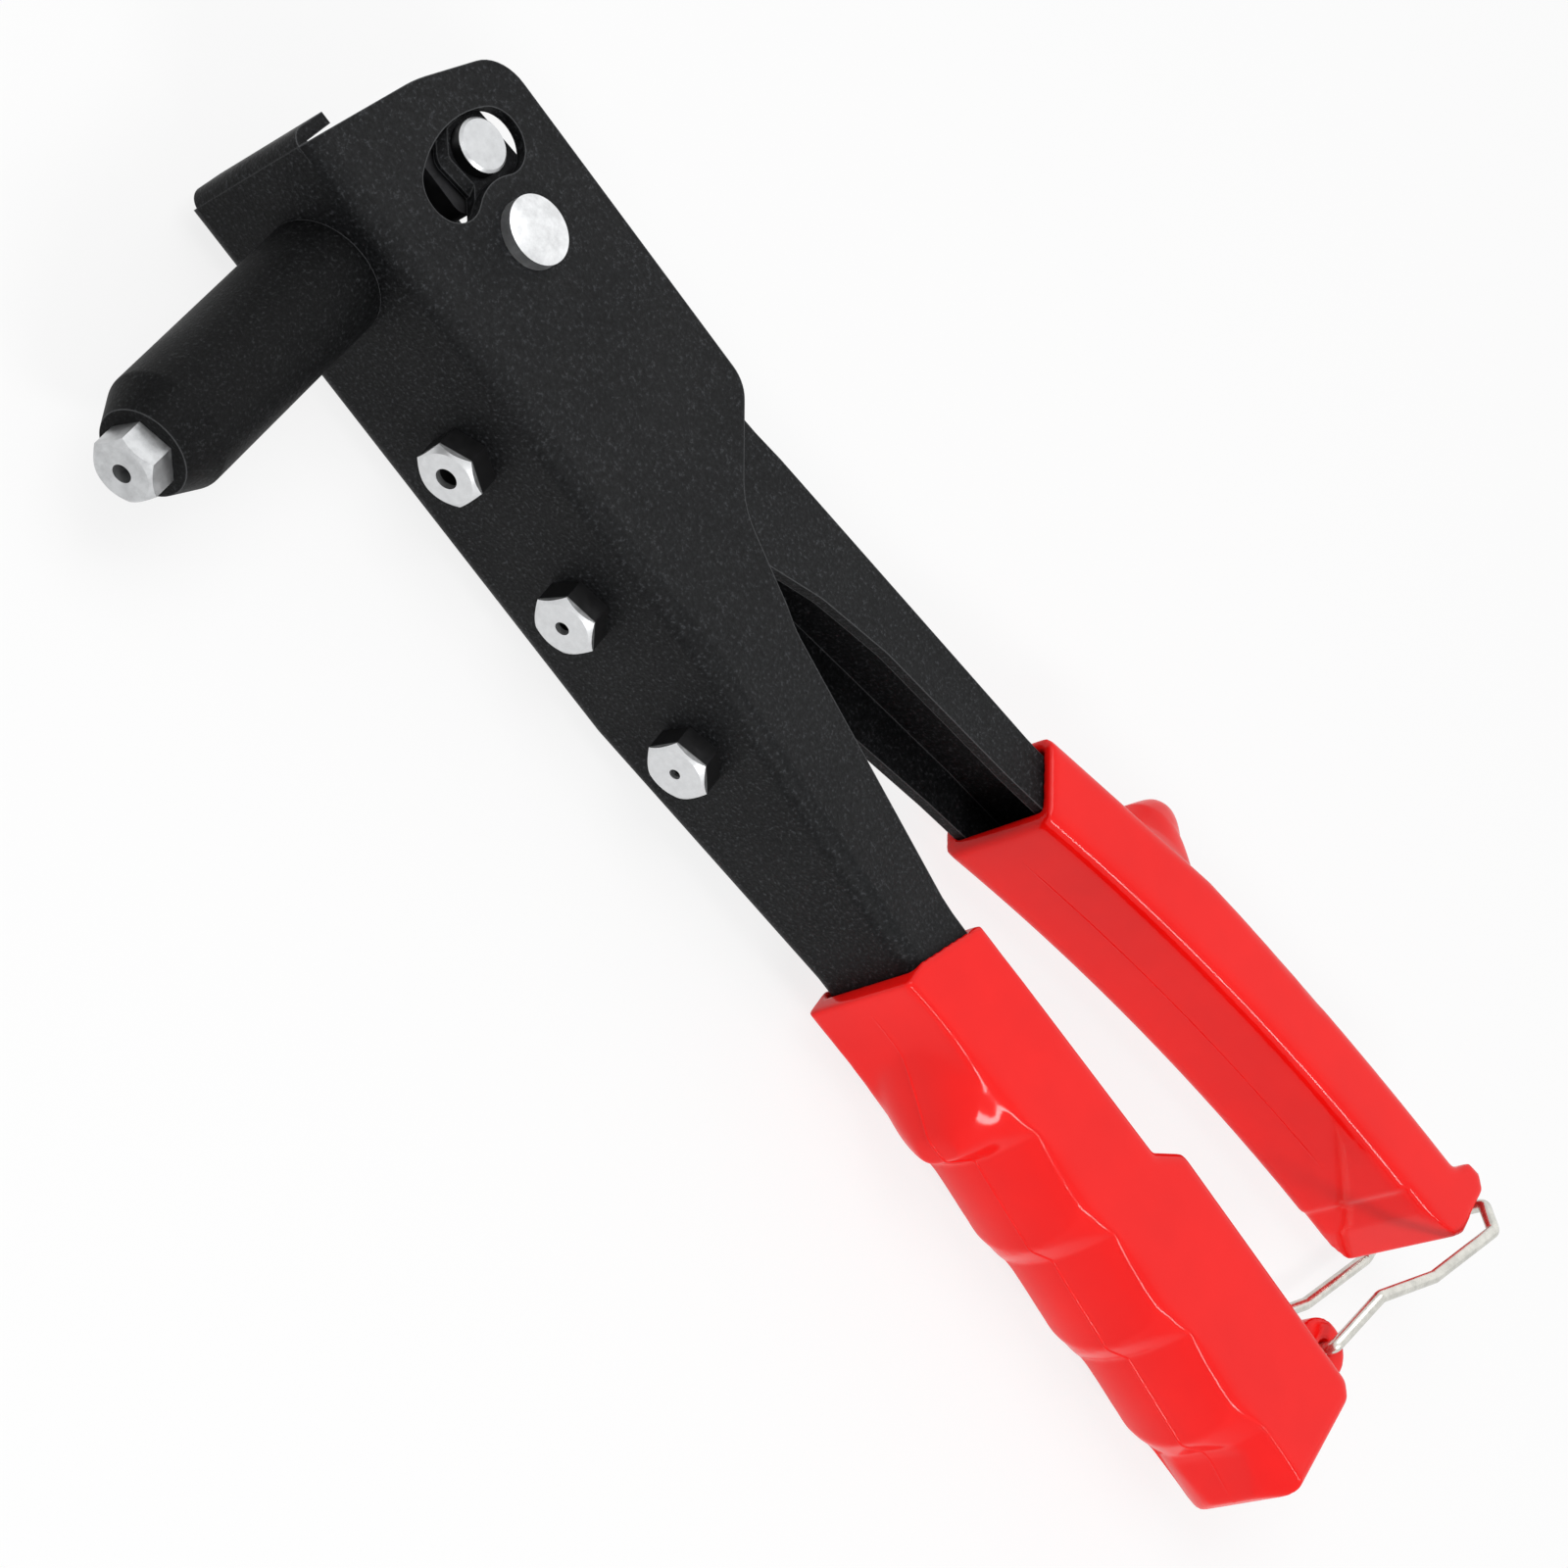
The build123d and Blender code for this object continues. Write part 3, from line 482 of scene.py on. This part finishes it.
def shortening_spring():
    """The spring behind the jaws, as a mesh of its own attached to the carrier, its CAD node hidden."""
    spring = new_object("jaw_spring_coil", frame["nodes"]["jaw_spring"].data.copy())
    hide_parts("jaw_spring")
    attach(spring, "carrier")
    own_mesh(spring)


shortening_spring()


# ---- stage ----

WORLD_LIGHT = 0.38
FLOOR_GLOW = 0.82        # the share of plain white in the floor where it is seen directly
FLOOR_SIZE = 4000 * MM


def seen_directly(tree):
    """1 for camera, glossy and transmission rays, 0 for the rest."""
    path = tree.nodes.new("ShaderNodeLightPath")
    seen = path.outputs["Is Camera Ray"]
    for ray in ("Is Glossy Ray", "Is Transmission Ray"):
        seen = math_node(tree, "MAXIMUM", seen, path.outputs[ray])
    return seen


def pale_stage():
    """A pale floor under the tool, white to the camera."""
    underside = cad_box[0][2]
    bpy.ops.mesh.primitive_plane_add(size=FLOOR_SIZE, location=(0, 0, underside))
    floor = bpy.context.object
    floor.name = "floor"
    material, tree, shader = new_material("pale_floor")
    shader.inputs["Base Color"].default_value = (0.93, 0.93, 0.93, 1)
    shader.inputs["Roughness"].default_value = 0.9
    glow = add_node(tree, "ShaderNodeEmission", Color=(1, 1, 1, 1), Strength=1.0)
    mix = tree.nodes.new("ShaderNodeMixShader")
    share = tree.nodes.new("ShaderNodeMath")
    share.operation = "MULTIPLY"
    share.inputs[1].default_value = FLOOR_GLOW
    tree.links.new(seen_directly(tree), share.inputs[0])
    tree.links.new(share.outputs["Value"], mix.inputs["Fac"])
    tree.links.new(shader.outputs["BSDF"], mix.inputs[1])
    tree.links.new(glow.outputs["Emission"], mix.inputs[2])
    tree.links.new(mix.outputs["Shader"], tree.nodes["Material Output"].inputs["Surface"])
    floor.data.materials.append(material)


def soft_world():
    """White all round for the camera, softer grey for light."""
    world = bpy.data.worlds.new("studio")
    scene.world = world
    world.use_nodes = True
    tree = world.node_tree
    tree.nodes.clear()
    out = tree.nodes.new("ShaderNodeOutputWorld")
    light = add_node(tree, "ShaderNodeBackground", Color=(1, 1, 1, 1), Strength=WORLD_LIGHT)
    seen = add_node(tree, "ShaderNodeBackground", Color=(1, 1, 1, 1), Strength=1.0)
    mix = tree.nodes.new("ShaderNodeMixShader")
    tree.links.new(seen_directly(tree), mix.inputs["Fac"])
    tree.links.new(light.outputs["Background"], mix.inputs[1])
    tree.links.new(seen.outputs["Background"], mix.inputs[2])
    tree.links.new(mix.outputs["Shader"], out.inputs["Surface"])


def area_light(name, target, offset, size, power):
    """A soft box of a width and a height, set off from a point and aimed at it."""
    data = bpy.data.lights.new(name, "AREA")
    data.shape = "RECTANGLE"
    data.size, data.size_y = size
    data.energy = power
    lamp = new_object(name, data)
    lamp.location = target + offset
    aim = target - lamp.location
    lamp.rotation_euler = aim.to_track_quat("-Z", "Y").to_euler()


def camera(eye, target, roll, lens):
    """A camera at a place, aimed at a point and rolled, its lens in mm."""
    data = bpy.data.cameras.new("camera")
    data.sensor_width = 36.0
    data.lens = lens
    data.clip_start = 10 * MM
    viewer = new_object("camera", data)
    level = (target - eye).to_track_quat("-Z", "Y").to_matrix().to_4x4()
    viewer.matrix_world = Matrix.Translation(eye) @ level @ Matrix.Rotation(roll, 4, "Z")
    scene.camera = viewer


def studio_lamps():
    """A long key lamp on the nose side, one high beyond the head, a large soft fill on the lever's side."""
    middle = Vector((-70, 120, 0)) * MM
    area_light("key", middle, Vector((485, 420, 495)) * MM, size=(420 * MM, 90 * MM), power=2.5)
    area_light("top", middle, Vector((45, -405, 801)) * MM, size=(600 * MM, 600 * MM), power=3.2)
    area_light("fill", middle, Vector((-720, 90, 495)) * MM, size=(1400 * MM, 1400 * MM), power=1.5)


pale_stage()
soft_world()
studio_lamps()
# from the nose side and above, rolled so that the nose points down and to the left
camera(eye=Vector((343.3, -75.2, 434.5)) * MM, target=Vector((-61.8, 103.3, 0)) * MM,
       roll=math.radians(69.75), lens=94.4)
scene.view_settings.view_transform = "Standard"
